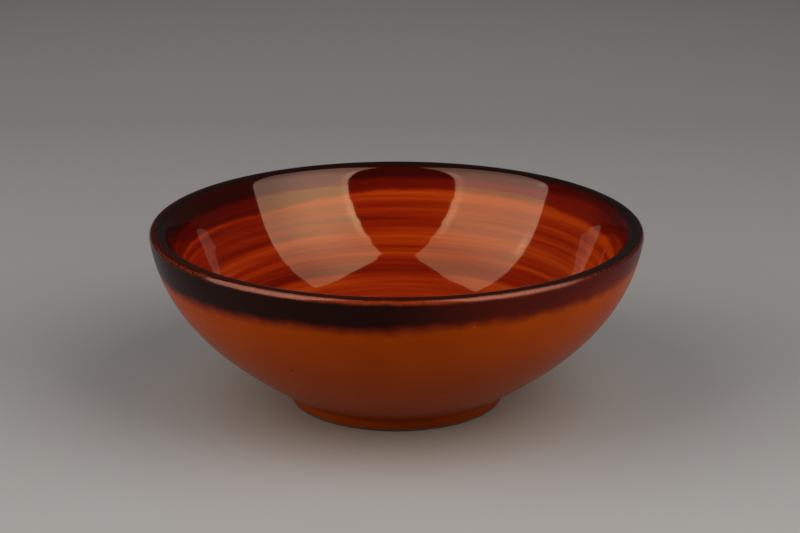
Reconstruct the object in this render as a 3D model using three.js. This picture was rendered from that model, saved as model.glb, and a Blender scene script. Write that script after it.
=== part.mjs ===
// A stoneware salad bowl on a turned foot ring: one fired clay body under four fields of glaze.
// Millimetres, +Z up. The origin is the centre of the plane that the foot ring stands on.
//
// The section is drawn once, as the finished surface over the glaze. It runs from the middle of
// the floor up the inside, over the lip, down the outside and into the recess under the foot.
// The clay lies one coat deeper. Each glaze fills the space between the two surfaces over its own
// stretch of the section, so it meets the clay and the next glaze face to face.

import * as THREE from 'three';

// Overall sizes
const RIM_DIAMETER = 195;
const HEIGHT = 72;

// Lip: a small round outside, a narrow flat on top, and a broad roll down to the shoulder inside.
// Each pull is how far a curve holds the direction of its end, as a share of its span.
const LIP_EDGE_RADIUS = 2.4;
const LIP_FLAT = 0.4;
const ROLL_PULL_AT_LIP = 0.27;
const ROLL_PULL_AT_SHOULDER = 0.68;

// Shoulder: the place inside where the wall stands steepest, its thickness measured level. Angles
// are in degrees, a flare from upright and a rise from level.
const SHOULDER_DEPTH = 8.1;
const SHOULDER_THICKNESS = 8.6;
const SHOULDER_FLARE = 23;

// Wall, thickest around its belly
const WALL_THICKNESS = 8.3;
const FLOOR_THICKNESS = 5.6;
const FLARE_AT_LIP = 8;
const RISE_AT_FOOT = 32.8;
const OUTER_PULL_AT_LIP = 0.395;
const OUTER_PULL_AT_FOOT = 0.3;
const INNER_PULL_AT_SHOULDER = 0.195;

// Foot ring
const FOOT_DIAMETER = 86;
const FOOT_WIDTH = 6.5;
const FOOT_FACE_HEIGHT = 2.9;
const FOOT_EDGE = 0.8;
const NECK_RADIUS = 2.5;
const RECESS_DEPTH = 3.5;
const RECESS_RADIUS = 1.6;

// Glaze, wiped off the foot's standing face and a little way up its sides
const GLAZE_THICKNESS = 0.4;
const WIPED_HEIGHT = 0.3;
const BAND_DEPTH_OUTSIDE = 11;

// Faceting, and how finely a distance or a share of a curve is worked out
const FACETS = 60;
const WALL_STEPS = 10;
const ROLL_STEPS = 5;
const BAND_STEPS = 3;
const BEND_STEPS = 3;
const DISTANCE_SAMPLES = 400;
const SHARE_TOLERANCE = 1e-9;

const LEVEL = 0;
const HALFWAY = 0.5;
const QUARTER_TURN = Math.PI / 2;
const RIM_RADIUS = RIM_DIAMETER / 2;
const FOOT_RADIUS = FOOT_DIAMETER / 2;
const LIP_ANGLE = QUARTER_TURN - THREE.MathUtils.degToRad(FLARE_AT_LIP);
const SHOULDER_ANGLE = QUARTER_TURN - THREE.MathUtils.degToRad(SHOULDER_FLARE);
const NECK_ANGLE = THREE.MathUtils.degToRad(RISE_AT_FOOT);
const GLAZE_STOP = FOOT_EDGE + WIPED_HEIGHT;

// A point of the section, its x the distance from the axis and its y the height
function point(radius, height) {
  return new THREE.Vector2(radius, height);
}

// A point at a distance from another one, in a direction given as an angle from the horizontal
function pointFrom(start, angle, distance) {
  return point(start.x + distance * Math.cos(angle), start.y + distance * Math.sin(angle));
}

// A round stretch that turns clockwise, as the section does over the lip
function roundedEdge(centre, radius, startAngle, endAngle) {
  return new THREE.EllipseCurve(centre.x, centre.y, radius, radius, startAngle, endAngle, true, 0);
}

// A round stretch that turns the other way, as the section does in a hollow corner
function hollowCorner(centre, radius, startAngle, endAngle) {
  return new THREE.EllipseCurve(centre.x, centre.y, radius, radius, startAngle, endAngle, false, 0);
}

// A wall curve that leaves its start and reaches its end along the angles of travel given
function wallCurve(start, startAngle, startPull, end, endAngle, endPull) {
  const span = start.distanceTo(end);
  const leaving = pointFrom(start, startAngle, span * startPull);
  const reaching = pointFrom(end, endAngle, -span * endPull);
  return new THREE.CubicBezierCurve(start, leaving, reaching, end);
}

// The share between 0 and 1 up to which a condition holds, found by halving
function lastShareWhere(holds) {
  let low = 0;
  let high = 1;
  while (high - low > SHARE_TOLERANCE) {
    const middle = (low + high) / 2;
    if (holds(middle)) {
      low = middle;
    } else {
      high = middle;
    }
  }
  return low;
}

function distanceToCurve(place, curve) {
  return Math.min(...curve.getPoints(DISTANCE_SAMPLES).map((sample) => sample.distanceTo(place)));
}

// The stations of a stretch of curve: each a point of the finished surface and the direction
// that points away from the clay there
function stationsOf(curve, steps, from = 0, to = 1) {
  const stations = [];
  for (let step = 0; step <= steps; step += 1) {
    const parameter = from + ((to - from) * step) / steps;
    const along = curve.getTangent(parameter);
    stations.push({ place: curve.getPoint(parameter), outward: point(-along.y, along.x) });
  }
  return stations;
}

// Stretches end to end, without the station that each would repeat
function joined(...stretches) {
  return stretches.flatMap((stretch, index) => (index === 0 ? stretch : stretch.slice(1)));
}

// The points of a stretch, sunk below the finished surface
function surfaceOf(stations, depth) {
  return stations.map(({ place, outward }) => place.clone().addScaledVector(outward, -depth));
}

// Lip
const lipCentre = point(RIM_RADIUS - LIP_EDGE_RADIUS, HEIGHT - LIP_EDGE_RADIUS);
const outerLip = roundedEdge(lipCentre, LIP_EDGE_RADIUS, QUARTER_TURN, 0);
const underLip = roundedEdge(lipCentre, LIP_EDGE_RADIUS, 0, LIP_ANGLE - QUARTER_TURN);
const crest = point(lipCentre.x - LIP_FLAT, HEIGHT);
const lipFlat = new THREE.LineCurve(crest, outerLip.getPoint(0));

// Neck: the hollow round between the wall and the upright outer face of the foot
const neckReach = NECK_RADIUS * Math.tan((QUARTER_TURN - NECK_ANGLE) / 2);
const neckBottom = point(FOOT_RADIUS, FOOT_FACE_HEIGHT);
const neckCorner = point(FOOT_RADIUS, FOOT_FACE_HEIGHT + neckReach);
const neckTop = pointFrom(neckCorner, NECK_ANGLE, neckReach);
const neckCentre = point(FOOT_RADIUS + NECK_RADIUS, FOOT_FACE_HEIGHT);
const neck = hollowCorner(neckCentre, NECK_RADIUS, NECK_ANGLE + QUARTER_TURN, Math.PI);

// Outside of the wall
const outerWall = wallCurve(
  underLip.getPoint(1), LIP_ANGLE - Math.PI, OUTER_PULL_AT_LIP,
  neckTop, NECK_ANGLE - Math.PI, OUTER_PULL_AT_FOOT,
);

// Inside, from the shoulder over the roll to the lip
const besideShoulder = outerWall.getPoint(
  lastShareWhere((share) => outerWall.getPoint(share).y > HEIGHT - SHOULDER_DEPTH),
);
const shoulder = point(besideShoulder.x - SHOULDER_THICKNESS, besideShoulder.y);
const roll = wallCurve(
  shoulder, SHOULDER_ANGLE, ROLL_PULL_AT_SHOULDER, crest, LEVEL, ROLL_PULL_AT_LIP,
);

// Inside, from the middle of the floor to the shoulder in one fair curve. It leaves the floor level
// for as long as the belly of the wall, halfway down the outside, still has its thickness.
const belly = outerWall.getPoint(HALFWAY);
const floorMiddle = point(0, RECESS_DEPTH + FLOOR_THICKNESS);

function insideWithPull(floorPull) {
  return wallCurve(
    floorMiddle, LEVEL, floorPull, shoulder, SHOULDER_ANGLE, INNER_PULL_AT_SHOULDER,
  );
}

const floorPull = lastShareWhere(
  (pull) => distanceToCurve(belly, insideWithPull(pull)) > WALL_THICKNESS,
);
const innerWall = insideWithPull(floorPull);

// Foot ring and the recess inside it
const recessWallRadius = FOOT_RADIUS - FOOT_WIDTH;
const footFace = new THREE.LineCurve(neckBottom, point(FOOT_RADIUS, GLAZE_STOP));
const recessCornerCentre = point(recessWallRadius - RECESS_RADIUS, RECESS_DEPTH - RECESS_RADIUS);
const recessWall = new THREE.LineCurve(
  point(recessWallRadius, GLAZE_STOP), point(recessWallRadius, recessCornerCentre.y),
);
const recessCorner = hollowCorner(recessCornerCentre, RECESS_RADIUS, 0, QUARTER_TURN);
const recessCeiling = new THREE.LineCurve(
  point(recessCornerCentre.x, RECESS_DEPTH), point(0, RECESS_DEPTH),
);

// The four glaze fields, as stretches of the section. The dark band of the rim takes in the roll.
const outerBandEdge = lastShareWhere(
  (share) => outerWall.getPoint(share).y > HEIGHT - BAND_DEPTH_OUTSIDE,
);
const insideField = stationsOf(innerWall, WALL_STEPS);
const rimField = joined(
  stationsOf(roll, ROLL_STEPS),
  stationsOf(lipFlat, 1),
  stationsOf(outerLip, BEND_STEPS),
  stationsOf(underLip, 1),
  stationsOf(outerWall, BAND_STEPS, 0, outerBandEdge),
);
const outsideField = joined(
  stationsOf(outerWall, WALL_STEPS, outerBandEdge, 1),
  stationsOf(neck, BEND_STEPS),
  stationsOf(footFace, 1),
);
const baseField = joined(
  stationsOf(recessWall, 1),
  stationsOf(recessCorner, BEND_STEPS),
  stationsOf(recessCeiling, 1),
);

// The bare clay of the standing ring, its two edges rounded off with a sponge
function bareFootOutline() {
  const outside = FOOT_RADIUS - GLAZE_THICKNESS;
  const inside = recessWallRadius + GLAZE_THICKNESS;
  return [
    point(outside, FOOT_EDGE),
    point(outside - FOOT_EDGE, 0),
    point(inside + FOOT_EDGE, 0),
    point(inside, FOOT_EDGE),
  ];
}

// A solid of revolution about +Z. Its faces point out when its outline climbs the outside, and the
// section goes down there, so the outline is taken backwards.
function turned(outline) {
  const geometry = new THREE.LatheGeometry([...outline].reverse(), FACETS);
  geometry.rotateX(QUARTER_TURN);
  return geometry;
}

function glazeGeometry(field) {
  const finished = surfaceOf(field, 0);
  const againstClay = surfaceOf(field, GLAZE_THICKNESS).reverse();
  return turned([...finished, ...againstClay, finished[0]]);
}

function clayGeometry() {
  const underGlaze = joined(insideField, rimField, outsideField);
  return turned([
    ...surfaceOf(underGlaze, GLAZE_THICKNESS),
    ...bareFootOutline(),
    ...surfaceOf(baseField, GLAZE_THICKNESS),
  ]);
}

const materials = {
  stoneware: new THREE.MeshStandardMaterial({ color: 0xb99a78, roughness: 0.85, metalness: 0 }),
  innerGlaze: new THREE.MeshStandardMaterial({ color: 0x86250a, roughness: 0.12, metalness: 0 }),
  rimGlaze: new THREE.MeshStandardMaterial({ color: 0x201012, roughness: 0.18, metalness: 0 }),
  outerGlaze: new THREE.MeshStandardMaterial({ color: 0x9a4812, roughness: 0.32, metalness: 0 }),
};

function piece(name, geometry, material) {
  const mesh = new THREE.Mesh(geometry, material);
  mesh.name = name;
  return mesh;
}

const bowl = new THREE.Group();
bowl.name = 'salad_bowl';
bowl.add(
  piece('clay_body', clayGeometry(), materials.stoneware),
  piece('inner_glaze', glazeGeometry(insideField), materials.innerGlaze),
  piece('rim_glaze', glazeGeometry(rimField), materials.rimGlaze),
  piece('outer_glaze', glazeGeometry(outsideField), materials.outerGlaze),
  piece('base_glaze', glazeGeometry(baseField), materials.outerGlaze),
);

export default bowl;
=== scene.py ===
import math
from collections import namedtuple

import bpy
import numpy as np
from mathutils import Matrix, Vector


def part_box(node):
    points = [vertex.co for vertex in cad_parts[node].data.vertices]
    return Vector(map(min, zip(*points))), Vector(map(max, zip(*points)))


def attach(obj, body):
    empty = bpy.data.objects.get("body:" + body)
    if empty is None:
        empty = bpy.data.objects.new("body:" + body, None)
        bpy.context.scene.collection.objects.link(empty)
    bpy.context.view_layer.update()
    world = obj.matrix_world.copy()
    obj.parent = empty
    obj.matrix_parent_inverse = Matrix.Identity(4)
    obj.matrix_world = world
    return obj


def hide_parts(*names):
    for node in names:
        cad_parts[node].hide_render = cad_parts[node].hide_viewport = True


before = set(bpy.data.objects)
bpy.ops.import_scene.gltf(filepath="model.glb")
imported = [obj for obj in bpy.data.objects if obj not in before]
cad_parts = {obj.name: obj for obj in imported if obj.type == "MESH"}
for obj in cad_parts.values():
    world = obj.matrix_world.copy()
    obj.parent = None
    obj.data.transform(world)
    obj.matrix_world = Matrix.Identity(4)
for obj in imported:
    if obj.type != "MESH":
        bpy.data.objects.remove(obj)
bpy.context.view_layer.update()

# A stoneware salad bowl: a thrown surface with throwing rings, under four fields of glaze that run
# into each other. The glaze of the rim is two pieces, glossy on the lip and satin on the band below.
# Metres, +Z up, in the frame of the CAD model. Azimuth 0 is the photographed side, the -Y side, and
# azimuths grow towards +X.
MM = 0.001
UM = 0.000001
QUARTER_TURN = math.pi / 2
FULL_TURN = 2 * math.pi

# Section: the rim and height come from the frame, the rest are the sizes of the CAD section
RIM_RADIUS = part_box("rim_glaze")[1].x
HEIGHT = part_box("rim_glaze")[1].z
GLAZE_THICKNESS = 0.4 * MM
LIP_EDGE_RADIUS = 2.4 * MM
LIP_FLAT = 0.4 * MM
ROLL_PULL_AT_LIP = 0.27
ROLL_PULL_AT_SHOULDER = 0.68
SHOULDER_DEPTH = 8.1 * MM
SHOULDER_THICKNESS = 8.6 * MM
SHOULDER_ANGLE = math.radians(67)
WALL_THICKNESS = 8.3 * MM
FLOOR_THICKNESS = 5.6 * MM
LIP_ANGLE = math.radians(82)
NECK_ANGLE = math.radians(32.8)
OUTER_PULL_AT_LIP = 0.395
OUTER_PULL_AT_FOOT = 0.3
INNER_PULL_AT_SHOULDER = 0.195
FOOT_RADIUS = 43 * MM
FOOT_WIDTH = 6.5 * MM
FOOT_FACE_HEIGHT = 2.9 * MM
FOOT_EDGE = 0.8 * MM
WIPED_HEIGHT = 0.3 * MM
NECK_RADIUS = 2.5 * MM
RECESS_DEPTH = 3.5 * MM
RECESS_RADIUS = 1.6 * MM
BAND_DEPTH_OUTSIDE = 11 * MM
GLAZE_STOP = FOOT_EDGE + WIPED_HEIGHT

# Meshes: columns round the bowl, the length of a facet along the section, and how finely a curve and
# its pull are worked out
COLUMNS = 360
WALL_FACET = 0.7 * MM
LIP_FACET = 0.16 * MM
ROWS_TO_A_BACK_ROW = 4
HIDDEN_UV_SHARE = 0.1
CURVE_SAMPLES = 2000
PULL_STEPS = 1001
POLE_RADIUS = 0.01 * MM
LEAST_LENGTH = 1e-20

# Throwing rings that climb in one spiral: wavelength and height of the ridges. They wander in waves,
# each given as waves in a turn, size and phase, and are stronger at some places than at others.
INSIDE_RIDGES = ((7.6 * MM, 14 * UM), (4.1 * MM, 5 * UM))
OUTSIDE_RIDGES = ((5.3 * MM, 6 * UM), (3.1 * MM, 2 * UM))
FLOOR_RIDGES = ((9.0 * MM, 8 * UM),)
RIDGE_WANDER = ((1, 0.5, 0.7), (2, 0.35, -1.1))
RIDGE_STRENGTH = 0.7
RIDGE_STRENGTH_SWING = 0.3
RIDGE_STRENGTH_PHASE = -0.4
RIDGE_STRENGTH_SPAN = 13 * MM

# Where the ridges start and where they are full, as distances from the crest, from the axis or from
# the plane that the bowl stands on, and where those inside weaken on the lower wall
INSIDE_RIDGES_START = (3 * MM, 14 * MM)
INSIDE_RIDGES_ROUND_AXIS = (0, 6 * MM)
INSIDE_RIDGES_WEAKEN = (38 * MM, 50 * MM)
INSIDE_RIDGES_LOST = 0.65
OUTSIDE_RIDGES_START = (5 * MM, 14 * MM)
OUTSIDE_RIDGES_ABOVE_FOOT = (6 * MM, 14 * MM)
FLOOR_RIDGES_END = (28 * MM, 11.2 * MM)
FLOOR_RIDGES_ROUND_AXIS = (0, 5.6 * MM)

# How far a bowl thrown by hand strays from a true circle, from level and from one wall all round: at
# its sides the inside is a little fuller below the lip and hollower further down
SIDE_FULLNESS = 0.42 * MM
FULLNESS_MIDDLE = 23.5 * MM
FULLNESS_SPAN = 48 * MM
FULLNESS_STARTS = (2 * MM, 10 * MM)
FULLNESS_ENDS = (47.5 * MM, 40.8 * MM)
FULLNESS_SIDES = (0.75, 0.95)
OVAL = 0.12 * MM
OVAL_PHASE = -0.6
RIM_WAVE = 0.05 * MM
RIM_WAVES = 3
RIM_WAVE_PHASE = 1.2
RIM_TILT = 0.15 * MM

# Camera, as distances and angles found from the bowl's outline in the photograph
CAMERA_DISTANCE = 880.46 * MM
CAMERA_ELEVATION = math.radians(20.725)
CAMERA_PITCH = math.radians(17.388)
CAMERA_YAW = math.radians(0.0949)
CAMERA_ROLL = math.radians(0.038)
CAMERA_REACH = (10 * MM, 50)
SENSOR_WIDTH = 36
LENS = 97.56

# Two soft boxes that face the bowl. Each stands in the direction given, and its edges lie that far
# from the point in this direction at the boxes' distance. The glow is given at its left and right
# side, and turns from one to the other between two shares of the width. The top is dimmer, and the
# bottom has a share of its own. Spots in it are brighter, and are given as a place, how far they
# reach, and the glow that they add.
SOFT_BOX_DISTANCE = 800 * MM
SOFT_BOX_GLOW_TURNS = (0.4, 0.95)
SOFT_BOX_EVEN_FROM = -60 * MM
SOFT_BOX_EVEN_UP_TO = 150 * MM
SOFT_BOX_DIM_FROM = 500 * MM
SOFT_BOX_TOP_SHARE = 0.57
Stand = namedtuple("Stand", "azimuth elevation roll")
RIGHT_STAND = Stand(math.radians(65.65), math.radians(30.5), math.radians(-10.57))
LEFT_STAND = Stand(math.radians(-69.27), math.radians(31.36), math.radians(8.7))
SoftBox = namedtuple("SoftBox", "stand left right bottom top left_glow right_glow bottom_share spots")
BrightSpot = namedtuple("BrightSpot", "x y reach_x reach_y glow")
SOFT_BOXES = {
    "soft_box_right": SoftBox(
        RIGHT_STAND, -462 * MM, 284 * MM, -400 * MM, 726 * MM, 4.3, 2.6, 0.45,
        (BrightSpot(-430 * MM, 250 * MM, 60 * MM, 320 * MM, 1.9),),
    ),
    "soft_box_left": SoftBox(
        LEFT_STAND, -323 * MM, 413 * MM, -400 * MM, 719 * MM, 2.85, 3.0, 1.6,
        (
            BrightSpot(372 * MM, 210 * MM, 55 * MM, 260 * MM, 1.8),
            BrightSpot(-270 * MM, 190 * MM, 50 * MM, 110 * MM, 1.6),
        ),
    ),
}

# Brightness of the room round the soft boxes, on every side alike
ROOM_GLOW = 0.03


# Section

def unit(angle):
    return np.array([math.cos(angle), math.sin(angle)])


def bezier(corners):
    t = np.linspace(0, 1, CURVE_SAMPLES)[:, None]
    a, b, c, d = (np.asarray(corner, float) for corner in corners)
    return (1 - t) ** 3 * a + 3 * (1 - t) ** 2 * t * b + 3 * (1 - t) * t * t * c + t ** 3 * d


def wall_curve(start, start_angle, start_pull, end, end_angle, end_pull):
    """A curve that leaves its start and reaches its end along the angles of travel given."""
    span = np.linalg.norm(end - start)
    leaving = start + unit(start_angle) * span * start_pull
    reaching = end - unit(end_angle) * span * end_pull
    return bezier((start, leaving, reaching, end))


def arc(centre, radius, start_angle, end_angle):
    angles = np.linspace(start_angle, end_angle, CURVE_SAMPLES)
    return np.asarray(centre) + radius * np.stack([np.cos(angles), np.sin(angles)], 1)


def line(start, end):
    return np.linspace(start, end, CURVE_SAMPLES)


def inner_wall(shoulder, belly):
    """The inside from the middle of the floor to the shoulder, the wall's thickness from the belly."""
    floor_middle = np.array([0, RECESS_DEPTH + FLOOR_THICKNESS])
    for floor_pull in np.linspace(1, 0, PULL_STEPS):
        wall = wall_curve(
            floor_middle, 0, floor_pull, shoulder, SHOULDER_ANGLE, INNER_PULL_AT_SHOULDER,
        )
        if np.linalg.norm(wall - belly, axis=1).min() >= WALL_THICKNESS:
            return wall
    return wall


def wall_curves():
    """The finished surface as named stretches of radius and height, from the middle of the floor up
    the inside, over the lip and down the outside to the neck above the foot."""
    lip_centre = np.array([RIM_RADIUS - LIP_EDGE_RADIUS, HEIGHT - LIP_EDGE_RADIUS])
    lip_edge = arc(lip_centre, LIP_EDGE_RADIUS, QUARTER_TURN, LIP_ANGLE - QUARTER_TURN)
    crest = np.array([lip_centre[0] - LIP_FLAT, HEIGHT])

    reach = NECK_RADIUS * math.tan((QUARTER_TURN - NECK_ANGLE) / 2)
    neck_top = np.array([FOOT_RADIUS, FOOT_FACE_HEIGHT + reach]) + reach * unit(NECK_ANGLE)
    outer_wall = wall_curve(
        lip_edge[-1], LIP_ANGLE - math.pi, OUTER_PULL_AT_LIP,
        neck_top, NECK_ANGLE - math.pi, OUTER_PULL_AT_FOOT,
    )
    in_band = outer_wall[:, 1] >= HEIGHT - BAND_DEPTH_OUTSIDE
    band_end = np.count_nonzero(in_band)

    beside = outer_wall[np.argmin(np.abs(outer_wall[:, 1] - (HEIGHT - SHOULDER_DEPTH)))]
    shoulder = beside - np.array([SHOULDER_THICKNESS, 0])
    roll = wall_curve(shoulder, SHOULDER_ANGLE, ROLL_PULL_AT_SHOULDER, crest, 0, ROLL_PULL_AT_LIP)
    return {
        "inner_wall": inner_wall(shoulder, outer_wall[len(outer_wall) // 2]),
        "roll": roll,
        "lip_flat": line(crest, lip_edge[0]),
        "lip_edge": lip_edge,
        "band": outer_wall[:band_end],
        "outer_wall": outer_wall[band_end - 1:],
    }


def foot_curves():
    """The stretches from the neck round the foot ring to the middle of the recess."""
    neck_centre = (FOOT_RADIUS + NECK_RADIUS, FOOT_FACE_HEIGHT)
    bead_height = GLAZE_STOP + GLAZE_THICKNESS
    clay_radius = FOOT_RADIUS - GLAZE_THICKNESS
    recess_radius = FOOT_RADIUS - FOOT_WIDTH
    clay_recess_radius = recess_radius + GLAZE_THICKNESS
    corner = np.array([recess_radius - RECESS_RADIUS, RECESS_DEPTH - RECESS_RADIUS])
    return {
        "neck": arc(neck_centre, NECK_RADIUS, NECK_ANGLE + QUARTER_TURN, math.pi),
        "foot_face": line((FOOT_RADIUS, FOOT_FACE_HEIGHT), (FOOT_RADIUS, bead_height)),
        "foot_bead": arc((clay_radius, bead_height), GLAZE_THICKNESS, 0, -QUARTER_TURN),
        "bare_face": line((clay_radius, GLAZE_STOP), (clay_radius, FOOT_EDGE)),
        "bare_edge": arc((clay_radius - FOOT_EDGE, FOOT_EDGE), FOOT_EDGE, 0, -QUARTER_TURN),
        "standing_face": line(
            (clay_radius - FOOT_EDGE, 0), (clay_recess_radius + FOOT_EDGE, 0),
        ),
        "bare_inner_edge": arc(
            (clay_recess_radius + FOOT_EDGE, FOOT_EDGE), FOOT_EDGE, -QUARTER_TURN, -math.pi,
        ),
        "bare_inner_face": line(
            (clay_recess_radius, FOOT_EDGE), (clay_recess_radius, GLAZE_STOP),
        ),
        "recess_bead": arc(
            (clay_recess_radius, bead_height), GLAZE_THICKNESS, 3 * QUARTER_TURN, math.pi,
        ),
        "recess_wall": line((recess_radius, bead_height), (recess_radius, corner[1])),
        "recess_corner": arc(corner, RECESS_RADIUS, 0, QUARTER_TURN),
        "recess_ceiling": line((corner[0], RECESS_DEPTH), (0, RECESS_DEPTH)),
    }


GLAZES = {
    "inner_glaze": ("inner_wall",),
    "rim_glaze": ("roll", "lip_flat", "lip_edge"),
    "rim_band": ("band",),
    "outer_glaze": ("outer_wall", "neck", "foot_face", "foot_bead"),
    "base_glaze": ("recess_bead", "recess_wall", "recess_corner", "recess_ceiling"),
}
BARE_FOOT = ("bare_face", "bare_edge", "standing_face", "bare_inner_edge", "bare_inner_face")
BEADS = ("foot_bead", "recess_bead")
FINE_STRETCHES = ("lip_flat", "lip_edge", "roll", "neck") + BEADS + BARE_FOOT
OVER_THE_LIP = sum(
    (GLAZES[name] for name in ("inner_glaze", "rim_glaze", "rim_band", "outer_glaze")), (),
)
SMOOTH_RUNS = (OVER_THE_LIP, BARE_FOOT, GLAZES["base_glaze"])


# Surface: rows of the section turned into rings of points, with relief and normals

def distances(path):
    return np.concatenate([[0], np.cumsum(np.linalg.norm(np.diff(path, axis=0), axis=-1))])


def resample(path, facet):
    along = distances(path)
    at = np.linspace(0, along[-1], max(1, math.ceil(along[-1] / facet)) + 1)
    return np.stack([np.interp(at, along, path[:, axis]) for axis in (0, 1)], 1)


def smoothstep(low, high, value):
    t = np.clip((value - low) / (high - low), 0, 1)
    return t * t * (3 - 2 * t)


def ridges(azimuth, section, waves):
    """Height of the throwing rings, which climb by one wavelength in a turn and wander a little."""
    wander = sum(size * np.sin(times * azimuth + phase) for times, size, phase in RIDGE_WANDER)
    strength = RIDGE_STRENGTH + RIDGE_STRENGTH_SWING * np.sin(
        azimuth + RIDGE_STRENGTH_PHASE + section / RIDGE_STRENGTH_SPAN
    )
    height = 0
    for wavelength, size in waves:
        height = height + size * np.sin(FULL_TURN * section / wavelength - azimuth + wander)
    return height * strength


def relief(azimuth, section, radius, height):
    """How far the thrown surface stands out of the section, along the section's normal."""
    inside = smoothstep(*INSIDE_RIDGES_START, section)
    inside = inside * (1 - INSIDE_RIDGES_LOST * smoothstep(*INSIDE_RIDGES_WEAKEN, section))
    inside = inside * smoothstep(*INSIDE_RIDGES_ROUND_AXIS, radius)
    outside = smoothstep(*OUTSIDE_RIDGES_START, -section)
    outside = outside * smoothstep(*OUTSIDE_RIDGES_ABOVE_FOOT, height)
    swirl = smoothstep(*FLOOR_RIDGES_END, radius)
    swirl = swirl * smoothstep(*FLOOR_RIDGES_ROUND_AXIS, radius) * (section > 0)
    return (
        inside * ridges(azimuth, section, INSIDE_RIDGES)
        + outside * ridges(azimuth, section, OUTSIDE_RIDGES)
        + swirl * ridges(azimuth, section, FLOOR_RIDGES)
        + fuller_sides(azimuth, section)
    )


def fuller_sides(azimuth, section):
    """How far the inside stands out of the section at its sides."""
    fullness = np.sin(FULL_TURN * (FULLNESS_MIDDLE - section) / FULLNESS_SPAN)
    on_wall = smoothstep(*FULLNESS_STARTS, section) * smoothstep(*FULLNESS_ENDS, section)
    at_sides = smoothstep(*FULLNESS_SIDES, np.abs(np.sin(azimuth)))
    return SIDE_FULLNESS * fullness * on_wall * at_sides


Ring = namedtuple("Ring", "points normals section")


def stretch_rings(curves):
    """Rings of points for each stretch of the section. Neighbours share the ring between them."""
    azimuth = np.arange(COLUMNS) * FULL_TURN / COLUMNS
    paths = {
        name: resample(curve, LIP_FACET if name in FINE_STRETCHES else WALL_FACET)
        for name, curve in curves.items()
    }
    crest_distance = 0
    for name in ("inner_wall", "roll"):
        crest_distance += distances(paths[name])[-1]
    rings = {}
    travelled = 0
    for run in SMOOTH_RUNS:
        path = np.concatenate([paths[name][:-1] for name in run] + [paths[run[-1]][-1:]])
        along = distances(path)
        section = crest_distance - travelled - along
        travelled += along[-1]
        points, normals = run_surface(path, along, section, azimuth)
        first = 0
        for name in run:
            last = first + len(paths[name]) - 1
            rings[name] = [
                Ring(points[row], normals[row], section[row]) for row in range(first, last + 1)
            ]
            first = last
    return rings


def run_surface(path, along, section, azimuth):
    """Points and normals of one smooth run of the section, turned round the axis."""
    travel = np.gradient(path, along, axis=0)
    travel /= np.linalg.norm(travel, axis=1)[:, None]
    outward = np.stack([-travel[:, 1], travel[:, 0]], 1)
    radius = path[:, :1]
    height = path[:, 1:]
    lift = relief(azimuth[None], section[:, None], radius, height)
    reach = (height / HEIGHT) ** 2
    radius = radius + lift * outward[:, :1] + OVAL * reach * np.cos(2 * azimuth + OVAL_PHASE)
    wave = RIM_WAVE * np.sin(RIM_WAVES * azimuth + RIM_WAVE_PHASE)
    unlevel = wave - RIM_TILT * (1 + np.cos(azimuth))
    height = height + lift * outward[:, 1:] + reach * unlevel
    radius[path[:, 0] < POLE_RADIUS] = 0
    points = np.stack([radius * np.sin(azimuth), -radius * np.cos(azimuth), height], -1)

    up_the_section = np.gradient(points, along, axis=0)
    round_the_bowl = np.roll(points, -1, axis=1) - np.roll(points, 1, axis=1)
    normals = np.cross(up_the_section, round_the_bowl)
    poles = path[:, 0] < POLE_RADIUS
    normals[poles] = (0, 0, 1)
    normals[poles, :, 2] *= np.sign(outward[poles, 1:])
    normals /= np.linalg.norm(normals, axis=-1)[..., None]
    return points, normals


def behind(ring, facing):
    """The ring on the clay behind a glaze, with its normals towards the glaze or away from it."""
    return Ring(ring.points - GLAZE_THICKNESS * ring.normals, facing * ring.normals, ring.section)


def joined_rings(rings, names):
    result = list(rings[names[0]])
    for name in names[1:]:
        result += rings[name][1:]
    return result


def back_rings(rings, names, facing):
    """The rings behind the glaze, fewer than in front, where the eye doesn't reach."""
    result = []
    for name in names:
        if name in BEADS:
            continue
        stretch = rings[name]
        kept = stretch[:-1:ROWS_TO_A_BACK_ROW] + [stretch[-1]]
        result += [behind(ring, facing) for ring in (kept[1:] if result else kept)]
    return result


# Meshes

def is_pole(ring):
    return np.hypot(ring.points[0, 0], ring.points[0, 1]) < POLE_RADIUS


def strip(first, second, starts, v_ends, flat):
    """Corner indices, normals and UVs of the faces between two rings."""
    here = np.arange(COLUMNS)
    there = (here + 1) % COLUMNS
    corners = [(0, 0), (1, 0), (1, 1), (0, 1)]
    if is_pole(first):
        corners = [(0, None), (1, 0), (1, 1)]
    if is_pole(second):
        corners = [(0, 0), (1, None), (0, 1)]
    indices, points, normals, uvs = [], [], [], []
    for end, side in corners:
        ring = (first, second)[end]
        column = there if side == 1 else here
        turn = here + (0.5 if side is None else side)
        indices.append(starts[end] + (0 * column if side is None else column))
        points.append(ring.points[column])
        normals.append(ring.normals[column])
        uvs.append(np.stack([turn / COLUMNS, np.full(COLUMNS, v_ends[end])], 1))
    if flat:
        across = np.cross(points[1] - points[0], points[2] - points[0])
        across /= np.maximum(np.linalg.norm(across, axis=1), LEAST_LENGTH)[:, None]
        normals = [across] * len(corners)
    return np.stack(indices, 1), np.stack(normals, 1), np.stack(uvs, 1)


def lathe_places(ring):
    """The cosine and sine of the azimuth and the distance from the crest in mm, for each point."""
    azimuth = np.arange(COLUMNS) * FULL_TURN / COLUMNS
    spread = 0 if is_pole(ring) else 1
    section = np.full(COLUMNS, ring.section / MM)
    return np.stack([spread * np.cos(azimuth), spread * np.sin(azimuth), section], 1)


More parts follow.
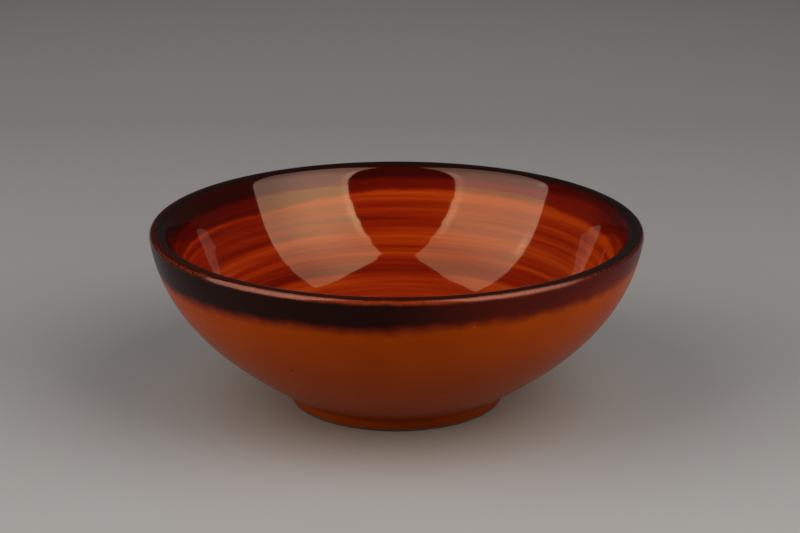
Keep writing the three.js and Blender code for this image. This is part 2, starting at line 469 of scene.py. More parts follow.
def turned_mesh(name, runs, hidden):
    """A closed mesh turned from runs of rings. Faces are smooth in a run and flat from one run to
    the next. The hidden runs get a small share of the UV map."""
    rings = [ring for run in runs for ring in run]
    run_of = [number for number, run in enumerate(runs) for _ in run]
    counts = [1 if is_pole(ring) else COLUMNS for ring in rings]
    starts = np.cumsum([0] + counts[:-1])
    points = np.concatenate([ring.points[:count] for ring, count in zip(rings, counts)])
    lathe = np.concatenate([lathe_places(ring)[:count] for ring, count in zip(rings, counts)])

    lengths = np.diff(distances(np.array([ring.points[0] for ring in rings + rings[:1]])))
    shares = [HIDDEN_UV_SHARE if run in hidden else 1 for run in run_of]
    v = np.concatenate([[0], np.cumsum(lengths * shares)])
    v /= v[-1]
    faces, normals, uvs = [], [], []
    for a in range(len(rings)):
        b = (a + 1) % len(rings)
        if is_pole(rings[a]) and is_pole(rings[b]):
            continue
        strip_faces, strip_normals, strip_uvs = strip(
            rings[a], rings[b], (starts[a], starts[b]), (v[a], v[a + 1]), run_of[a] != run_of[b],
        )
        faces += strip_faces.tolist()
        normals.append(strip_normals.reshape(-1, 3))
        uvs.append(strip_uvs.reshape(-1, 2))
    return new_mesh(name, points, faces, np.concatenate(normals), np.concatenate(uvs), lathe)


def new_mesh(name, points, faces, normals, uvs, lathe):
    mesh = bpy.data.meshes.new(name)
    mesh.from_pydata(points.tolist(), [], faces)
    mesh.polygons.foreach_set("use_smooth", np.ones(len(faces), bool))
    uv_layer = mesh.uv_layers.new(name="OFBake")
    uv_layer.data.foreach_set("uv", uvs.astype(np.float32).ravel())
    attribute = mesh.attributes.new("lathe", "FLOAT_VECTOR", "POINT")
    attribute.data.foreach_set("vector", lathe.astype(np.float32).ravel())
    mesh.normals_split_custom_set(normals.tolist())
    return mesh


def glaze_mesh(name, rings):
    front = joined_rings(rings, GLAZES[name])
    back = back_rings(rings, GLAZES[name], -1)
    return turned_mesh(name, [front, back[::-1]], hidden=(1,))


def clay_mesh(rings):
    runs = [
        back_rings(rings, OVER_THE_LIP, 1),
        joined_rings(rings, BARE_FOOT),
        back_rings(rings, GLAZES["base_glaze"], 1),
    ]
    return turned_mesh("clay_body", runs, hidden=(0, 2))


def add_piece(name, node, mesh, material):
    piece = bpy.data.objects.new(name + "_fine", mesh)
    bpy.context.scene.collection.objects.link(piece)
    mesh.materials.append(material)
    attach(piece, "root")
    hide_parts(node)


# Materials

# Noise of two kinds, and ripples made of it. Streaks run round the bowl: how often they change in a
# turn, and how far they lie apart in mm. Grain has a size. Each has a seed, its octaves of detail, and
# how far it swings to either side of 0 where it moves or brightens something.
Streaks = namedtuple("Streaks", "turns spacing seed detail swing", defaults=(2.0, 0.0))
Grain = namedtuple("Grain", "size seed detail swing", defaults=(2.0, 0.0))
Ripples = namedtuple("Ripples", "noise height")
SEED_SHARES = (1, 0.37, 1.7)
NOISE_MIDDLE = 0.5
NOISE_SWING = 0.25
MARK_CORE = 0.3

# Sockets of the mix node, which are known by number only: what is mixed, and the result
FIRST_VALUE, SECOND_VALUE, MIXED_VALUE = 2, 3, 0
FIRST_COLOUR, SECOND_COLOUR, MIXED_COLOUR = 6, 7, 2


class Nodes:
    """The nodes of a material or a lamp, written as expressions."""

    def __init__(self, tree):
        self.tree = tree
        self.tree.nodes.clear()

    def node(self, kind, inputs=None, **settings):
        node = self.tree.nodes.new(kind)
        for setting, value in settings.items():
            setattr(node, setting, value)
        for socket, value in (inputs or {}).items():
            if isinstance(value, bpy.types.NodeSocket):
                self.tree.links.new(value, node.inputs[socket])
            else:
                node.inputs[socket].default_value = value
        return node

    def math(self, operation, first, second=0.0, third=0.0):
        inputs = {0: first, 1: second, 2: third}
        return self.node("ShaderNodeMath", inputs, operation=operation).outputs[0]

    def add(self, first, *others):
        for other in others:
            first = self.math("ADD", first, other)
        return first

    def times(self, first, *others):
        for other in others:
            first = self.math("MULTIPLY", first, other)
        return first

    def fade(self, value, low, high):
        """From 0 where the value is low to 1 where it is high, smoothly."""
        inputs = {"Value": value, "From Min": low, "From Max": high}
        node = self.node("ShaderNodeMapRange", inputs, interpolation_type="SMOOTHSTEP")
        return node.outputs["Result"]

    def near(self, value, centre, reach):
        """1 where the value is at the centre, falling smoothly to 0 at its reach."""
        away = self.math("ABSOLUTE", self.math("SUBTRACT", value, centre))
        return self.fade(away, reach, 0.0)

    def spread(self, value, low, high):
        return self.math("MULTIPLY_ADD", value, high - low, low)

    def mix_value(self, factor, first, second):
        inputs = {0: factor, FIRST_VALUE: first, SECOND_VALUE: second}
        return self.node("ShaderNodeMix", inputs, data_type="FLOAT").outputs[MIXED_VALUE]


class Shading(Nodes):
    """The nodes of a material that knows its place on the bowl."""

    def __init__(self, name):
        self.material = bpy.data.materials.new(name)
        self.material.use_nodes = True
        super().__init__(self.material.node_tree)
        self.lathe = self.node("ShaderNodeAttribute", attribute_name="lathe").outputs["Vector"]
        self.cosine, self.sine, self.section = self.node(
            "ShaderNodeSeparateXYZ", {0: self.lathe},
        ).outputs
        self.place = self.node("ShaderNodeTexCoord").outputs["Object"]

    def noise(self, pattern):
        """Noise from 0 to 1, in streaks or in grains."""
        seed = pattern.seed
        if isinstance(pattern, Streaks):
            place = self.lathe
            scale = (pattern.turns, pattern.turns, 1 / pattern.spacing)
            start = tuple(seed * share for share in SEED_SHARES)
        else:
            place, scale, start = self.place, (1 / pattern.size,) * 3, (seed,) * 3
        inputs = {0: place, 1: scale, 2: start}
        vector = self.node("ShaderNodeVectorMath", inputs, operation="MULTIPLY_ADD").outputs[0]
        inputs = {"Vector": vector, "Scale": 1.0, "Detail": pattern.detail}
        return self.node("ShaderNodeTexNoise", inputs).outputs["Fac"]

    def swing(self, pattern):
        """Noise turned into a swing to either side of 0."""
        slope = pattern.swing / NOISE_SWING
        return self.math("MULTIPLY_ADD", self.noise(pattern), slope, -NOISE_MIDDLE * slope)

    def mark(self, point, reach):
        """1 at a point of the bowl, falling smoothly to 0 at its reach."""
        node = self.node("ShaderNodeVectorMath", {0: self.place, 1: point}, operation="DISTANCE")
        return self.fade(node.outputs["Value"], reach, MARK_CORE * reach)

    def ramp(self, value, stops, interpolation="LINEAR"):
        node = self.node("ShaderNodeValToRGB", {"Fac": value})
        ramp = node.color_ramp
        ramp.interpolation = interpolation
        while len(ramp.elements) > 1:
            ramp.elements.remove(ramp.elements[-1])
        ramp.elements[0].position = stops[0][0]
        for position, _ in stops[1:]:
            ramp.elements.new(position)
        for element, (_, colour) in zip(ramp.elements, stops):
            element.color = (*colour, 1)
        return node.outputs["Color"]

    def curve(self, value, stops):
        """A value from 0 to 1 that follows the stops, over positions from 0 to 1."""
        greys = [(position, (level,) * 3) for position, level in stops]
        grey = self.ramp(value, greys, "CARDINAL")
        return self.node("ShaderNodeSeparateColor", {0: grey}).outputs[0]

    def mix(self, factor, first, second, blend_type="MIX"):
        inputs = {0: factor}
        for socket, colour in ((FIRST_COLOUR, first), (SECOND_COLOUR, second)):
            linked = isinstance(colour, bpy.types.NodeSocket)
            inputs[socket] = colour if linked else (*colour, 1)
        node = self.node("ShaderNodeMix", inputs, data_type="RGBA", blend_type=blend_type)
        return node.outputs[MIXED_COLOUR]

    def bump(self, height, distance, normal=None):
        inputs = {"Height": height, "Distance": distance, "Strength": 1.0}
        if normal:
            inputs["Normal"] = normal
        return self.node("ShaderNodeBump", inputs).outputs["Normal"]

    def ripples(self, *layers):
        normal = None
        for layer in layers:
            normal = self.bump(self.noise(layer.noise), layer.height, normal)
        return normal

    def finish(self, colour, roughness, normal, **more):
        inputs = {"Base Color": colour, "Roughness": roughness, "Normal": normal}
        inputs.update({name.replace("_", " "): value for name, value in more.items()})
        shader = self.node("ShaderNodeBsdfPrincipled", inputs)
        self.node("ShaderNodeOutputMaterial", {"Surface": shader.outputs[0]})
        return self.material


# Colours of the glazes, from thick to thin on the inside, and of the band, the outside and the clay
INSIDE_TONES = (
    (0.0, (0.008, 0.003, 0.002)),
    (0.2, (0.030, 0.0012, 0.0006)),
    (0.48, (0.095, 0.0030, 0.0006)),
    (0.61, (0.141, 0.0055, 0.0007)),
    (0.75, (0.205, 0.0095, 0.0008)),
    (0.9, (0.288, 0.021, 0.0012)),
    (1.0, (0.352, 0.036, 0.002)),
)
BAND_BLACK = (0.012, 0.0040, 0.0036)
BAND_RED = (0.10, 0.009, 0.004)
OUTSIDE_ORANGE = (0.322, 0.043, 0.0006)
OUTSIDE_BROWN = (0.238, 0.030, 0.0006)
LIP_RED = (0.030, 0.0024, 0.0008)
BREAK_AMBER = (0.25, 0.028, 0.003)
# The neck's brown is painted shade, and the foot's orange is partly a painted reflection of the floor
NECK_SHADE_BROWN = (0.10, 0.013, 0.001)
FOOT_ORANGE_AND_FLOOR_REFLECTION = (0.235, 0.040, 0.003)
PINHOLE_BROWN = (0.030, 0.005, 0.001)
PALE_ORANGE = (0.42, 0.12, 0.02)
CLAY_BUFF = (0.49, 0.33, 0.19)
CLAY_TOASTED = (0.33, 0.19, 0.10)
CLAY_FLASHED = (0.06, 0.018, 0.006)
CLAY_SPECK = (0.08, 0.04, 0.02)

# Gloss of the glazes: how strongly they mirror, and the tint of what they mirror
GLOSS_IOR = 1.65
SATIN_IOR = 1.13
INSIDE_GLOSS_TINT = (0.91, 0.58, 0.28, 1.0)
RIM_GLOSS_TINT = (0.86, 0.49, 0.35, 1.0)
OUTSIDE_GLOSS_TINT = (0.95, 0.35, 0.05, 1.0)

# In the values below, a distance is from the crest in mm, along the section. A pair is where a change
# starts and where it is full. A side is such a pair as sines of the azimuth, which are 1 at +X and -1
# at -X. A tone goes from 0 for dark to 1 for bright.

# Brushed rings inside, as distances and tones. They wander, and in places they weaken towards one
# even tone.
RING_SPAN = 125
RING_TONES = (
    (0, 0.8), (13, 0.9), (16.5, 1.0), (19, 0.84),
    (21, 0.75), (23, 0.85), (25.5, 0.65), (28, 0.75), (30, 0.7), (32, 0.79), (34, 0.98), (36, 1.0),
    (40, 0.72), (42, 0.9), (44, 0.75), (47, 0.7), (50, 0.6), (54, 0.93), (59, 0.86), (61.5, 0.78),
    (64, 0.88),
    (70, 0.72), (77, 0.85), (84, 0.7), (92, 0.85), (100, 0.72), (108, 0.84), (116, 0.76), (125, 0.8),
)
EVEN_TONE = 0.79
RING_WANDER = Streaks(0.8, 40, 3.1, swing=1.0)
RING_WAVER = Streaks(2.2, 16, 7.7, swing=0.35)
RING_STRENGTH = Streaks(1.1, 14, 12.3)
RING_WEAK_TO_STRONG = (0.3, 0.65)
WEAKEST_RING = 0.6

# Finer brush streaks between the rings, which start below the lip
BRUSH_STREAKS = (
    Streaks(0.8, 4.2, 21.4, 1.0, 0.10),
    Streaks(0.9, 1.6, 5.9, 1.0, 0.10),
    Streaks(1.2, 0.6, 9.2, 1.0, 0.03),
)
BRUSHING_STARTS = (5, 15)

# Patches that are brighter or darker than the rings round them, and a brighter right side
TonePatch = namedtuple("TonePatch", "middle reach side tone")
TONE_PATCHES = (
    TonePatch(53.5, 4.0, (0.2, 0.55), 0.16),
    TonePatch(29, 10, (0.88, 0.96), 0.14),
    TonePatch(19, 4, (-0.4, -0.8), -0.09),
)
RIGHT_SIDE = (-0.3, 0.9)
RIGHT_SIDE_TONE = 0.05

# Dark band inside: its steps to deep red, to red and to the streaks, and the brightest tone in each.
# The steps lean, so that they come earlier at +X, and each is moved on at some sides.
TO_DEEP_RED = (2.2, 4.4)
TO_RED = (7.4, 10.8)
TO_STREAKS = (13.2, 16.4)
DEEP_RED_TONE = 0.19
RED_TONE = 0.49
TONE_LEAN = 0.10
NO_LIMIT = 1.1
RED_LEAN = 2.4
RED_LEAN_ENDS = -0.6
STREAKS_LEAN = 1.8
LIMIT_WAVER = Streaks(7, 12, 14.6, swing=0.4)
RED_BRUSHING = Streaks(0.9, 2.0, 41.0, 1.0, 0.05)
FAR_RIGHT = (0.9, 1.0)
FAR_RIGHT_TONE = -0.15
FAR_RIGHT_MOVE = -1.5
SideMove = namedtuple("SideMove", "side move")
STREAKS_MOVES = (
    SideMove((-0.1, -0.6), -2.0),
    SideMove((-0.7, -0.95), 1.0),
    SideMove((0.7, 0.95), -1.9),
)

# Dark band outside: the distance of its edge, which leans to the right and to the front, wanders and
# has drips, and how far past the edge it turns red and orange. It is redder where it is thin.
EDGE_DISTANCE = 12.2
EDGE_LEAN_RIGHT = -3.1
EDGE_LEAN_FRONT = 0.8
EDGE_WANDER = Streaks(1.6, 60, 8.8, swing=0.8)
EDGE_DRIPS = Streaks(16, 9, 2.2, 3.0, 0.9)
EDGE_TO_RED = (-1.8, 1.2)
EDGE_TO_ORANGE = (-0.3, 4.5)
ThinPlace = namedtuple("ThinPlace", "side distance share")
THIN_PLACES = (ThinPlace((-0.1, 0.45), (1.5, 5.0), 0.5), ThinPlace((0.5, 0.85), (4.0, 10.0), 0.4))

# Plain glaze outside, between its brown and its orange: a mean share of orange that is uneven, lower
# further down, as painted shade where the wall turns down from the light, and higher on the right, as
# painted light where the stronger light falls
ORANGE_SHARE = 0.5
OUTSIDE_PATCHES = Grain(22 * MM, 4.0, 3.0, 0.16)
OUTSIDE_BRUSHING = Streaks(2.2, 1.6, 14.2, 3.0, 0.1)
SHADED_FURTHER_DOWN = (26, 50)
PAINTED_SHADE_FURTHER_DOWN = -0.4
PAINTED_LIGHT_ON_RIGHT = 0.05

# Foot: painted shade turns the glaze in the neck, the crease above the foot, a darker brown, more so
# on the right. Below it the foot's orange is partly its thinner glaze and partly a painted reflection
# of the pale floor. The flashed clay beside the glaze gives way to the buff of the standing face
TO_NECK_SHADE = (90.0, 94.5)
NECK_SHADE_TO_FOOT = (94.5, 98.0)
NECK_SHADE_ENDS = (102.0, 98.0)
NECK_SHADE_SIDE = (-0.3, 0.3)
NECK_SHADE_SHARES = (0.5, 0.75)
BUFF_TO_FLASHED = (98.2, 96.8)

# Lip: dark red on top but not on the right, and below it the amber that shows where the glaze breaks.
# The amber is whole in front, where the cosine of the azimuth is high, and in specks elsewhere.
ON_TOP_ENDS = (2.6, 1.4)
ON_TOP_SIDE = (0.95, 0.25)
BREAK_STARTS = (1.7, 2.7)
BREAK_ENDS = (4.3, 2.8)
BREAK_RAGGED = Streaks(14, 7, 19.0, swing=0.35)
BREAK_SPECKS = Grain(0.9 * MM, 31.0, 3.0)
BREAK_SPECKS_SHARPEN = (0.4, 0.6)
TO_FRONT = (0.6, 0.88)
WHOLE_AMBER = (0.05, 0.65)
AMBER_IN_FRONT = 0.95
AMBER_SIDE = (0.3, -0.3)
AMBER_AT_SIDES = (0.3, 0.5)

# A pinhole and a pale speck in the glaze of the outside
PINHOLE = (-38.5 * MM, -73.3 * MM, 36.75 * MM)
PINHOLE_REACH = 0.8 * MM
PALE_SPECK = (27.7 * MM, -91.0 * MM, 59.6 * MM)
PALE_SPECK_REACH = 0.6 * MM

# Fine surface of the glazes: the least and the most roughness, and ripples with their height
INSIDE_ROUGHNESS = (0.03, 0.06)
INSIDE_SMEARS = Streaks(2.0, 3.0, 17.0)
INSIDE_RIPPLES = Ripples(Streaks(1.5, 1.6, 25.0), 6 * UM)
INSIDE_DIMPLES = Ripples(Grain(4 * MM, 2.0, 1.0), 3 * UM)
OUTSIDE_ROUGHNESS = (0.20, 0.30)
OUTSIDE_SMEARS = Streaks(3.0, 1.2, 27.0)
OUTSIDE_RIPPLES = Ripples(Streaks(2.4, 0.7, 6.0, 3.0), 10 * UM)
OUTSIDE_DIMPLES = Ripples(Grain(1.6 * MM, 8.0), 4 * UM)

# Surface of the lip, and the distances at which the glaze of the inside, of the lip and of the band
# give way to each other. Minus is outside the crest.
CREST_TO_OUTSIDE = (0.4, -0.4)
LIP_STARTS = (1.5, 0.0)
LIP_ENDS = (-4.5, -3.0)
LIP_TO_BAND = (-3.2, -4.5)
LIP_ROUGHNESS = (0.06, 0.20)
LIP_SPECKLE = Grain(0.6 * MM, 12.0)
LIP_DULLER_SIDE = (-0.2, 0.3)
LIP_DULLER = 0.05
LIP_DIMPLES = Ripples(Grain(0.6 * MM, 40.0), 9 * UM)

# Specular level of the rim's glaze inside, on the lip from the left round the front to the right, and
# where it meets the satin of the band
SHINE_INSIDE = 0.42
LIP_SHINES = (
    (0.0, 0.24), (0.1, 0.24), (0.2, 0.38), (0.28, 0.48), (0.4, 0.50), (0.45, 0.36), (0.5, 0.22),
    (0.55, 0.34), (0.6, 0.40), (0.75, 0.36), (1.0, 0.34),
)
SHINE_AT_BAND = 0.036
SHINE_TO_BAND = (-2.8, -4.4)

# Bare clay
CLAY_BLOTCHES = Grain(12 * MM, 6.0, 3.0)
CLAY_BLOTCHES_SHARPEN = (0.35, 0.75)
CLAY_SPECKS = Grain(1.1 * MM, 15.0, 1.0)
CLAY_SPECKS_SHARPEN = (0.66, 0.72)
CLAY_SPECKS_SHARE = 0.7
CLAY_ROUGHNESS = (0.7, 0.9)
CLAY_PATCHES = Grain(3 * MM, 9.0)
TURNING_MARKS = Ripples(Streaks(2.0, 0.5, 33.0), 40 * UM)
CLAY_GRIT = Ripples(Grain(0.5 * MM, 3.0, 3.0), 60 * UM)


def inside_colour(shading):
    """Red-brown streaks that run round, under a dark band that fades into them below the lip."""
    section = shading.add(shading.section, shading.swing(RING_WANDER), shading.swing(RING_WAVER))
    position = shading.times(section, 1 / RING_SPAN)
    rings = shading.curve(position, [(at / RING_SPAN, tone) for at, tone in RING_TONES])
    weak_to_strong = shading.fade(shading.noise(RING_STRENGTH), *RING_WEAK_TO_STRONG)
    strength = shading.spread(weak_to_strong, WEAKEST_RING, 1.0)
    stands_out = shading.times(shading.math("SUBTRACT", rings, EVEN_TONE), strength)
    brushing = shading.add(*(shading.swing(streaks) for streaks in BRUSH_STREAKS))
    brushing = shading.times(brushing, shading.fade(section, *BRUSHING_STARTS))
    tone = shading.add(stands_out, EVEN_TONE, brushing)
    for patch in TONE_PATCHES:
        tone = shading.add(tone, shading.times(
            shading.near(shading.section, patch.middle, patch.reach),
            shading.fade(shading.sine, *patch.side), patch.tone,
        ))
    on_right = shading.fade(shading.sine, *RIGHT_SIDE)
    tone = shading.add(tone, shading.times(on_right, RIGHT_SIDE_TONE))
    return shading.ramp(shading.math("MINIMUM", tone, tone_limit(shading, section)), INSIDE_TONES)


def tone_limit(shading, section):
    """The brightest tone below the lip: near-black, then deep red, then red, then no limit."""
    section = shading.add(section, shading.swing(LIMIT_WAVER))
    far_right = shading.fade(shading.sine, *FAR_RIGHT)
    deep_red = shading.math("MULTIPLY_ADD", shading.sine, TONE_LEAN, DEEP_RED_TONE)
    red = shading.add(
        shading.math("MULTIPLY_ADD", shading.sine, TONE_LEAN, RED_TONE),
        shading.swing(RED_BRUSHING), shading.times(far_right, FAR_RIGHT_TONE),
    )
    red_lean = shading.times(shading.math("MAXIMUM", shading.sine, RED_LEAN_ENDS), RED_LEAN)
    at_red = shading.add(section, red_lean, shading.times(far_right, FAR_RIGHT_MOVE))
    at_streaks = shading.add(section, shading.times(shading.sine, STREAKS_LEAN))
    for side, move in STREAKS_MOVES:
        at_streaks = shading.add(at_streaks, shading.times(shading.fade(shading.sine, *side), move))
    limit = shading.times(shading.fade(section, *TO_DEEP_RED), deep_red)
    limit = shading.mix_value(shading.fade(at_red, *TO_RED), limit, red)
    return shading.mix_value(shading.fade(at_streaks, *TO_STREAKS), limit, NO_LIMIT)


def outside_colour(shading):
    """Orange-brown below a near-black band, which breaks to amber where it thins on the lip."""
    below_crest = shading.times(shading.section, -1.0)
    edge = shading.add(
        EDGE_DISTANCE, shading.times(shading.sine, EDGE_LEAN_RIGHT),
        shading.times(shading.cosine, EDGE_LEAN_FRONT), shading.swing(EDGE_WANDER),
        shading.swing(EDGE_DRIPS),
    )
    past_edge = shading.math("SUBTRACT", below_crest, edge)
    band = shading.mix(thin_share(shading, below_crest), BAND_BLACK, BAND_RED)
    band = shading.mix(shading.fade(past_edge, *EDGE_TO_RED), band, BAND_RED)
    to_orange = shading.fade(past_edge, *EDGE_TO_ORANGE)
    colour = shading.mix(to_orange, band, plain_outside(shading, below_crest))

    on_top = shading.times(
        shading.fade(below_crest, *ON_TOP_ENDS), shading.fade(shading.sine, *ON_TOP_SIDE),
    )
    colour = shading.mix(on_top, colour, LIP_RED)
    colour = shading.mix(breaking_share(shading, below_crest), colour, BREAK_AMBER)
    colour = shading.mix(shading.mark(PINHOLE, PINHOLE_REACH), colour, PINHOLE_BROWN)
    return shading.mix(shading.mark(PALE_SPECK, PALE_SPECK_REACH), colour, PALE_ORANGE)


def thin_share(shading, below_crest):
    """How far the red shows through the band."""
    return shading.add(*(
        shading.times(
            shading.fade(shading.sine, *place.side), shading.fade(below_crest, *place.distance),
            place.share,
        )
        for place in THIN_PLACES
    ))


def plain_outside(shading, below_crest):
    """The orange-brown of the wall, darker with painted shade in the neck, and the foot's orange,
    which is partly its thinner glaze and partly a painted reflection of the floor.
    """
    # Lower further down is painted shade, and higher on the right is painted light
    orange = shading.add(
        shading.times(shading.sine, PAINTED_LIGHT_ON_RIGHT), ORANGE_SHARE,
        shading.swing(OUTSIDE_PATCHES), shading.swing(OUTSIDE_BRUSHING),
        shading.times(shading.fade(below_crest, *SHADED_FURTHER_DOWN), PAINTED_SHADE_FURTHER_DOWN),
    )
    colour = shading.mix(shading.fade(orange, 0.0, 1.0), OUTSIDE_BROWN, OUTSIDE_ORANGE)
    # Painted shade in the neck crease, deeper on the right
    neck_shade = shading.times(
        shading.fade(below_crest, *TO_NECK_SHADE), shading.fade(below_crest, *NECK_SHADE_ENDS),
        shading.spread(shading.fade(shading.sine, *NECK_SHADE_SIDE), *NECK_SHADE_SHARES),
    )
    colour = shading.mix(neck_shade, colour, NECK_SHADE_BROWN)
    return shading.mix(shading.fade(below_crest, *NECK_SHADE_TO_FOOT), colour, FOOT_ORANGE_AND_FLOOR_REFLECTION)


def breaking_share(shading, below_crest):
    """How far the amber shows on the lip."""
    specks = shading.fade(shading.noise(BREAK_SPECKS), *BREAK_SPECKS_SHARPEN)
    in_front = shading.fade(shading.cosine, *TO_FRONT)
    speckle = shading.mix_value(shading.spread(in_front, *WHOLE_AMBER), specks, 1.0)
    ragged = shading.add(below_crest, shading.swing(BREAK_RAGGED))
    at_sides = shading.spread(shading.fade(shading.sine, *AMBER_SIDE), *AMBER_AT_SIDES)
    strength = shading.mix_value(in_front, at_sides, AMBER_IN_FRONT)
    return shading.times(
        shading.fade(ragged, *BREAK_STARTS), shading.fade(ragged, *BREAK_ENDS), speckle, strength,
    )


def inside_surface(shading):
    roughness = shading.spread(shading.noise(INSIDE_SMEARS), *INSIDE_ROUGHNESS)
    return roughness, shading.ripples(INSIDE_RIPPLES, INSIDE_DIMPLES)


def outside_surface(shading):
    roughness = shading.spread(shading.noise(OUTSIDE_SMEARS), *OUTSIDE_ROUGHNESS)
    return roughness, shading.ripples(OUTSIDE_RIPPLES, OUTSIDE_DIMPLES)


def inner_glaze_material():
    shading = Shading("inner_glaze")
    roughness, normal = inside_surface(shading)
    return shading.finish(
        inside_colour(shading), roughness, normal, IOR=GLOSS_IOR, Specular_Tint=INSIDE_GLOSS_TINT,
    )


def rim_surface(shading):
    """Like the inside up to the crest, speckled on the lip, and as rough as the outside below it."""
    inner_roughness, inner_normal = inside_surface(shading)
    outer_roughness, _ = outside_surface(shading)
    lip_roughness = shading.add(
        shading.spread(shading.noise(LIP_SPECKLE), *LIP_ROUGHNESS),
        shading.times(shading.fade(shading.sine, *LIP_DULLER_SIDE), LIP_DULLER),
    )
    on_lip = shading.times(
        shading.fade(shading.section, *LIP_STARTS), shading.fade(shading.section, *LIP_ENDS),
    )
    roughness = shading.mix_value(on_lip, inner_roughness, lip_roughness)
    below_lip = shading.fade(shading.section, *LIP_TO_BAND)
    roughness = shading.mix_value(below_lip, roughness, outer_roughness)
    dimples = shading.times(shading.noise(LIP_DIMPLES.noise), on_lip)
    return roughness, shading.bump(dimples, LIP_DIMPLES.height, inner_normal)


def rim_glaze_material():
    """The inside's glaze up to the crest, then the band's, with a gloss that varies on the lip."""
    shading = Shading("rim_glaze")
    roughness, normal = rim_surface(shading)
    outer = shading.fade(shading.section, *CREST_TO_OUTSIDE)
    colour = shading.mix(outer, inside_colour(shading), outside_colour(shading))
    round_the_lip = shading.spread(shading.sine, 0.5, 1.0)
    shine = shading.mix_value(outer, SHINE_INSIDE, shading.curve(round_the_lip, LIP_SHINES))
    shine = shading.mix_value(shading.fade(shading.section, *SHINE_TO_BAND), shine, SHINE_AT_BAND)
    return shading.finish(
        colour, roughness, normal, IOR=GLOSS_IOR, Specular_Tint=RIM_GLOSS_TINT,
        Specular_IOR_Level=shine,
    )


def satin_glaze_material(name):
    shading = Shading(name)
    roughness, normal = outside_surface(shading)
    return shading.finish(
        outside_colour(shading), roughness, normal, IOR=SATIN_IOR,
        Specular_Tint=OUTSIDE_GLOSS_TINT,
    )


def stoneware_material():
    shading = Shading("stoneware")
    blotches = shading.fade(shading.noise(CLAY_BLOTCHES), *CLAY_BLOTCHES_SHARPEN)
    colour = shading.mix(blotches, CLAY_BUFF, CLAY_TOASTED)
    specks = shading.fade(shading.noise(CLAY_SPECKS), *CLAY_SPECKS_SHARPEN)
    colour = shading.mix(shading.times(specks, CLAY_SPECKS_SHARE), colour, CLAY_SPECK)
    below_crest = shading.times(shading.section, -1.0)
    by_the_glaze = shading.fade(below_crest, *BUFF_TO_FLASHED)
    colour = shading.mix(by_the_glaze, colour, CLAY_FLASHED)
    roughness = shading.spread(shading.noise(CLAY_PATCHES), *CLAY_ROUGHNESS)
    return shading.finish(colour, roughness, shading.ripples(TURNING_MARKS, CLAY_GRIT))


# Scene

def direction(azimuth, elevation):
    return Vector((
        math.cos(elevation) * math.sin(azimuth),
        -math.cos(elevation) * math.cos(azimuth),
        math.sin(elevation),
    ))


def across_and_up(back, roll):
    """The directions across and up of a thing that looks away from its back, turned by its roll."""
    level = Vector((0, 0, 1)).cross(back).normalized()
    upright = back.cross(level)
    across = level * math.cos(roll) + upright * math.sin(roll)
    return across, upright * math.cos(roll) - level * math.sin(roll)


def add_at(place, axes, thing):
    thing.matrix_world = Matrix.Translation(place) @ Matrix(axes).transposed().to_4x4()
    bpy.context.scene.collection.objects.link(thing)


def add_camera():
    sensor = bpy.data.cameras.new("camera")
    sensor.lens = LENS
    sensor.sensor_width = SENSOR_WIDTH
    sensor.sensor_fit = "HORIZONTAL"
    sensor.clip_start, sensor.clip_end = CAMERA_REACH
    camera = bpy.data.objects.new("camera", sensor)
    place = CAMERA_DISTANCE * direction(0, CAMERA_ELEVATION)
    back = direction(-CAMERA_YAW, CAMERA_PITCH)
    add_at(place, (*across_and_up(back, CAMERA_ROLL), back), camera)
    bpy.context.scene.camera = camera


def add_soft_box(name, box):
    towards = direction(box.stand.azimuth, box.stand.elevation)
    across, up = across_and_up(towards, box.stand.roll)
    middle = (
        SOFT_BOX_DISTANCE * towards
        + across * (box.left + box.right) / 2
        + up * (box.bottom + box.top) / 2
    )
    lamp = bpy.data.lights.new(name, "AREA")
    lamp.shape = "RECTANGLE"
    lamp.size = box.right - box.left
    lamp.size_y = box.top - box.bottom
    lamp.energy = math.pi * lamp.size * lamp.size_y
    light_pattern(lamp, box)
    lamp_object = bpy.data.objects.new(name, lamp)
    lamp_object.visible_camera = False
    add_at(middle, (across, up, towards), lamp_object)


def light_pattern(lamp, box):
    """How bright the cloth of a soft box is from place to place."""
    lamp.use_nodes = True
    nodes = Nodes(lamp.node_tree)
    cloth = nodes.node("ShaderNodeNewGeometry").outputs["Parametric"]
    across, up, _ = nodes.node("ShaderNodeSeparateXYZ", {0: cloth}).outputs
    x = nodes.spread(across, box.left, box.right)
    y = nodes.spread(up, box.bottom, box.top)
    to_right = nodes.fade(across, *SOFT_BOX_GLOW_TURNS)
    glow = nodes.spread(to_right, box.left_glow, box.right_glow)
    not_top = nodes.fade(y, SOFT_BOX_DIM_FROM, SOFT_BOX_EVEN_UP_TO)
    not_bottom = nodes.fade(y, box.bottom, SOFT_BOX_EVEN_FROM)
    glow = nodes.times(
        glow,
        nodes.spread(not_top, SOFT_BOX_TOP_SHARE, 1.0),
        nodes.spread(not_bottom, box.bottom_share, 1.0),
    )
    for spot in box.spots:
        glow = nodes.add(glow, nodes.times(
            nodes.near(x, spot.x, spot.reach_x), nodes.near(y, spot.y, spot.reach_y), spot.glow,
        ))
    emission = nodes.node("ShaderNodeEmission", {"Strength": glow})
    nodes.node("ShaderNodeOutputLight", {"Surface": emission.outputs[0]})


def add_room():
    world = bpy.data.worlds.new("room")
    world.use_nodes = True
    backdrop = world.node_tree.nodes["Background"]
    backdrop.inputs["Color"].default_value = (1, 1, 1, 1)
    backdrop.inputs["Strength"].default_value = ROOM_GLOW
    bpy.context.scene.world = world


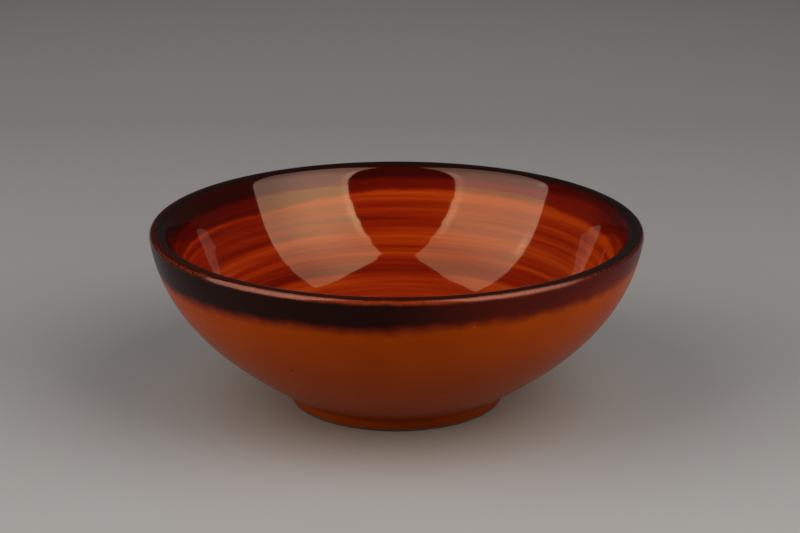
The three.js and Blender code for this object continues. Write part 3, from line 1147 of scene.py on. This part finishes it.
# Floor, in metres. Its grey is given from in front of the bowl to far behind it, by the distance
# along Y, as painted light and shade: lighter in front and far behind, darker round the bowl. It is
# warmer and darker by the foot, with painted bounce light from the orange bowl, and dimmer and duller
# far aside.
FLOOR_REACH = 6.0
FLOOR_CORNERS = 64
FLOOR_FROM = -0.2
FLOOR_TO = 1.0
FLOOR_PAINTED_LIGHT_TONES = (
    (-0.2, (0.370, 0.354, 0.336)), (-0.12, (0.350, 0.335, 0.320)), (-0.04, (0.330, 0.310, 0.295)),
    (0.05, (0.324, 0.305, 0.290)), (0.18, (0.370, 0.350, 0.338)), (0.47, (0.435, 0.412, 0.395)),
    (0.8, (0.635, 0.595, 0.585)), (1.0, (0.720, 0.668, 0.660)),
)
WHITE = (1.0, 1.0, 1.0)
FLOOR_BOUNCE_REACH = (0.11, 0.045)
FLOOR_PAINTED_BOUNCE = (1.0, 0.86, 0.74)
FLOOR_ASIDE = (0.45, 0.85)
FLOOR_ASIDE_GREY = (0.5, 0.5, 0.5)
FLOOR_ASIDE_ROUGHER = 0.3
FLOOR_ROUGHNESS = (0.42, 0.48)
FLOOR_SMEARS = Grain(20 * MM, 1.0)
FLOOR_GRIT = Ripples(Grain(1 * MM, 5.0), 5 * UM)


def floor_material():
    shading = Shading("floor")
    side, depth, _ = shading.node("ShaderNodeSeparateXYZ", {0: shading.place}).outputs
    far_aside = shading.fade(shading.math("ABSOLUTE", side), *FLOOR_ASIDE)
    span = FLOOR_TO - FLOOR_FROM
    depth = shading.math("MULTIPLY_ADD", depth, 1 / span, -FLOOR_FROM / span)
    # The greys along Y are painted light and shade
    colour = shading.ramp(depth, [((at - FLOOR_FROM) / span, grey) for at, grey in FLOOR_PAINTED_LIGHT_TONES])
    reach = shading.node("ShaderNodeVectorMath", {0: shading.place}, operation="LENGTH")
    # The warm tint by the foot is painted bounce light from the bowl
    tint = shading.mix(shading.fade(reach.outputs["Value"], *FLOOR_BOUNCE_REACH), WHITE, FLOOR_PAINTED_BOUNCE)
    tint = shading.mix(far_aside, tint, FLOOR_ASIDE_GREY)
    colour = shading.mix(1.0, colour, tint, "MULTIPLY")
    roughness = shading.spread(shading.noise(FLOOR_SMEARS), *FLOOR_ROUGHNESS)
    roughness = shading.add(roughness, shading.times(far_aside, FLOOR_ASIDE_ROUGHER))
    return shading.finish(colour, roughness, shading.ripples(FLOOR_GRIT))


def add_floor():
    mesh = bpy.data.meshes.new("floor")
    around = [FULL_TURN * corner / FLOOR_CORNERS for corner in range(FLOOR_CORNERS)]
    corners = [(FLOOR_REACH * math.cos(a), FLOOR_REACH * math.sin(a), 0) for a in around]
    mesh.from_pydata(corners, [], [list(range(len(corners)))])
    mesh.materials.append(floor_material())
    floor = bpy.data.objects.new("floor", mesh)
    bpy.context.scene.collection.objects.link(floor)


def build_bowl():
    rings = stretch_rings({**wall_curves(), **foot_curves()})
    add_piece("clay_body", "clay_body", clay_mesh(rings), stoneware_material())
    outer_glaze = satin_glaze_material("outer_glaze")
    for name, node, material, slot in (
        ("inner_glaze", "inner_glaze", inner_glaze_material(), "inner_glaze"),
        ("rim_glaze", "rim_glaze", rim_glaze_material(), "rim_glaze"),
        ("rim_band", "rim_glaze", satin_glaze_material("rim_band"), "rim_glaze"),
        ("outer_glaze", "outer_glaze", outer_glaze, "outer_glaze"),
        ("base_glaze", "base_glaze", outer_glaze, "outer_glaze"),
    ):
        add_piece(name, node, glaze_mesh(name, rings), material)


add_camera()
for soft_box_name, soft_box in SOFT_BOXES.items():
    add_soft_box(soft_box_name, soft_box)
add_room()
add_floor()
build_bowl()
bpy.context.scene.view_settings.view_transform = "Standard"
